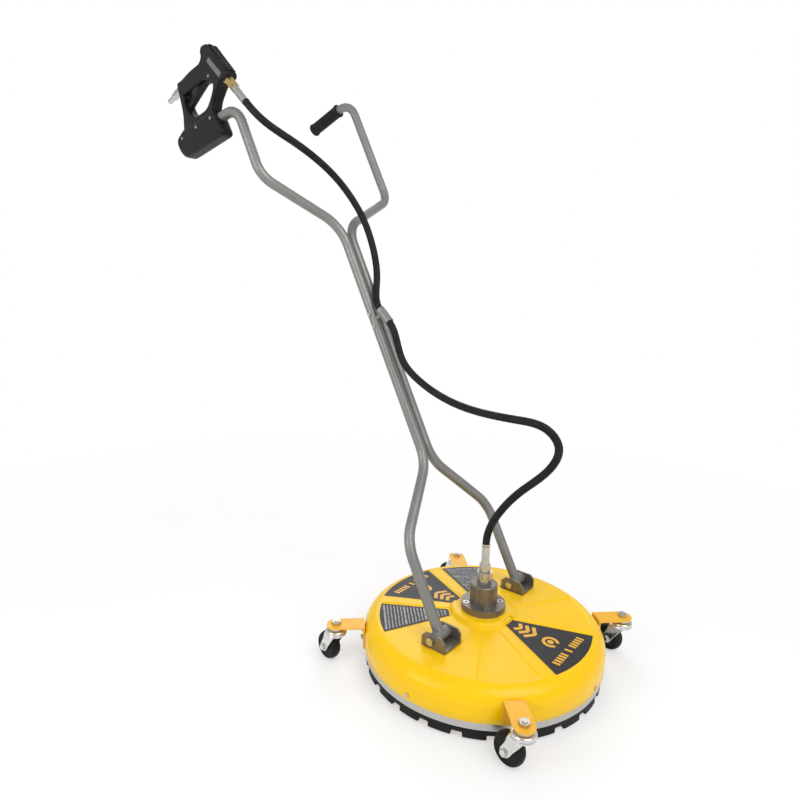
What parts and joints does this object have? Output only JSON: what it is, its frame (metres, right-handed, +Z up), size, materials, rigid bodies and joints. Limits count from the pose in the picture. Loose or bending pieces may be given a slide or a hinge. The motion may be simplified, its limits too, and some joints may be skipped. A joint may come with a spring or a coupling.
{
  "type": "surface cleaner",
  "caption": "Rotary surface cleaner: round deck on swivel casters, spinning spray bar, brush skirt, tilting two-tube handle with trigger gun and hose.",
  "frame": {"origin": "on the floor, at the middle of the box round the whole machine; the spray bar's axis stands at x 0, y 0.2903", "axes": "+X to the operator's right, +Y the way the machine is pushed, +Z up"},
  "size_m": [0.5184, 1.0988, 1.325],
  "materials": {
    "yellow_paint": "glossy",
    "amber_paint": "glossy",
    "grey_paint": "satin metallic powder coat",
    "dark_steel": "satin",
    "stainless": "brushed",
    "zinc_steel": "zinc plated",
    "caster_chrome": "bright",
    "brass": "machined",
    "black_rubber": "matte",
    "black_plastic": "moulded",
    "label_film": "satin film"
  },
  "bodies": {
    "deck": {"deck_cover": "yellow_paint", "deck_labels": "label_film", "trim_ring": "stainless", "ring_screws": "zinc_steel", "brush_skirt": "black_rubber", "caster_bracket_front_right": "amber_paint", "caster_bracket_front_left": "amber_paint", "caster_bracket_rear_left": "amber_paint", "caster_bracket_rear_right": "amber_paint", "caster_bracket_bolts": "zinc_steel", "caster_stems": "zinc_steel", "caster_stem_nuts": "zinc_steel", "handle_bracket_right": "dark_steel", "handle_bracket_left": "dark_steel", "pivot_bolts": "zinc_steel", "swivel_housing": "dark_steel", "flange_screws": "zinc_steel", "clamp_plate": "dark_steel", "lower_bearing": "stainless", "upper_bearing": "stainless", "shaft_seal": "black_rubber", "housing_cap": "dark_steel", "inlet_fitting": "zinc_steel", "hose_nut": "zinc_steel", "lower_ferrule": "zinc_steel", "lower_hose": "black_rubber"},
    "spray_bar": {"rotor_shaft": "stainless", "spray_hub": "stainless", "spray_arms": "stainless", "nozzle_holders": "stainless", "spray_nozzles": "stainless", "hub_nut": "zinc_steel"},
    "handle": {"handle_tube_right": "grey_paint", "handle_tube_left": "grey_paint", "link_bolts": "zinc_steel", "hose_clip": "grey_paint", "left_grip": "black_rubber", "gun_housing_right": "black_plastic", "gun_housing_left": "black_plastic", "gun_screws": "zinc_steel", "trigger_pin": "zinc_steel", "valve_body": "zinc_steel", "outlet_nut": "brass", "upper_ferrule": "zinc_steel", "inlet_plug": "zinc_steel", "upper_hose": "black_rubber"},
    "trigger": {"trigger": "black_plastic"},
    "valve_pin": {"push_pin": "zinc_steel"},
    "caster_front_right": {"caster_fork_front_right": "caster_chrome", "caster_axle_front_right": "caster_chrome"},
    "wheel_front_right": {"caster_wheel_front_right": "black_rubber"},
    "caster_front_left": {"caster_fork_front_left": "caster_chrome", "caster_axle_front_left": "caster_chrome"},
    "wheel_front_left": {"caster_wheel_front_left": "black_rubber"},
    "caster_rear_left": {"caster_fork_rear_left": "caster_chrome", "caster_axle_rear_left": "caster_chrome"},
    "wheel_rear_left": {"caster_wheel_rear_left": "black_rubber"},
    "caster_rear_right": {"caster_fork_rear_right": "caster_chrome", "caster_axle_rear_right": "caster_chrome"},
    "wheel_rear_right": {"caster_wheel_rear_right": "black_rubber"}
  },
  "joints": [
    {"name": "spray_bar_spin", "type": "hinge", "parent": "deck", "child": "spray_bar", "pos_m": [0, 0.2903, 0.1], "axis": [0, 0, 1], "continuous": true},
    {"name": "handle_tilt", "type": "hinge", "parent": "deck", "child": "handle", "pos_m": [0, 0.2853, 0.123], "axis": [1, 0, 0], "range_deg": [-27.7, 50], "deforming": ["lower_hose"]},
    {"name": "trigger_pull", "type": "hinge", "parent": "handle", "child": "trigger", "pos_m": [0.205, -0.3547, 1.256], "axis": [-1, 0, 0], "range_deg": [0, 10], "stiffness_Nm_per_rad": 1, "springref_deg": -5.73},
    {"name": "push_pin_slide", "type": "slide", "parent": "handle", "child": "valve_pin", "axis": [0, 0.2235, 0.9747], "range_m": [0, 0.0055]},
    {"name": "caster_swivel_front_right", "type": "hinge", "parent": "deck", "child": "caster_front_right", "pos_m": [0.22415, 0.51445, 0.08], "axis": [0, 0, 1], "continuous": true},
    {"name": "wheel_roll_front_right", "type": "hinge", "parent": "caster_front_right", "child": "wheel_front_right", "pos_m": [0.22053, 0.48871, 0.03], "axis": [0.9903, -0.1392, 0], "continuous": true},
    {"name": "caster_swivel_front_left", "type": "hinge", "parent": "deck", "child": "caster_front_left", "pos_m": [-0.22415, 0.51445, 0.08], "axis": [0, 0, 1], "continuous": true},
    {"name": "wheel_roll_front_left", "type": "hinge", "parent": "caster_front_left", "child": "wheel_front_left", "pos_m": [-0.22777, 0.48871, 0.03], "axis": [0.9903, -0.1392, 0], "continuous": true},
    {"name": "caster_swivel_rear_left", "type": "hinge", "parent": "deck", "child": "caster_rear_left", "pos_m": [-0.22415, 0.06615, 0.08], "axis": [0, 0, 1], "continuous": true},
    {"name": "wheel_roll_rear_left", "type": "hinge", "parent": "caster_rear_left", "child": "wheel_rear_left", "pos_m": [-0.22777, 0.0404, 0.03], "axis": [0.9903, -0.1392, 0], "continuous": true},
    {"name": "caster_swivel_rear_right", "type": "hinge", "parent": "deck", "child": "caster_rear_right", "pos_m": [0.22415, 0.06615, 0.08], "axis": [0, 0, 1], "continuous": true},
    {"name": "wheel_roll_rear_right", "type": "hinge", "parent": "caster_rear_right", "child": "wheel_rear_right", "pos_m": [0.22053, 0.0404, 0.03], "axis": [0.9903, -0.1392, 0], "continuous": true}
  ],
  "couplings": [
    {"joint": "push_pin_slide", "follows": "trigger_pull", "m_per_rad": 0.028884}
  ]
}
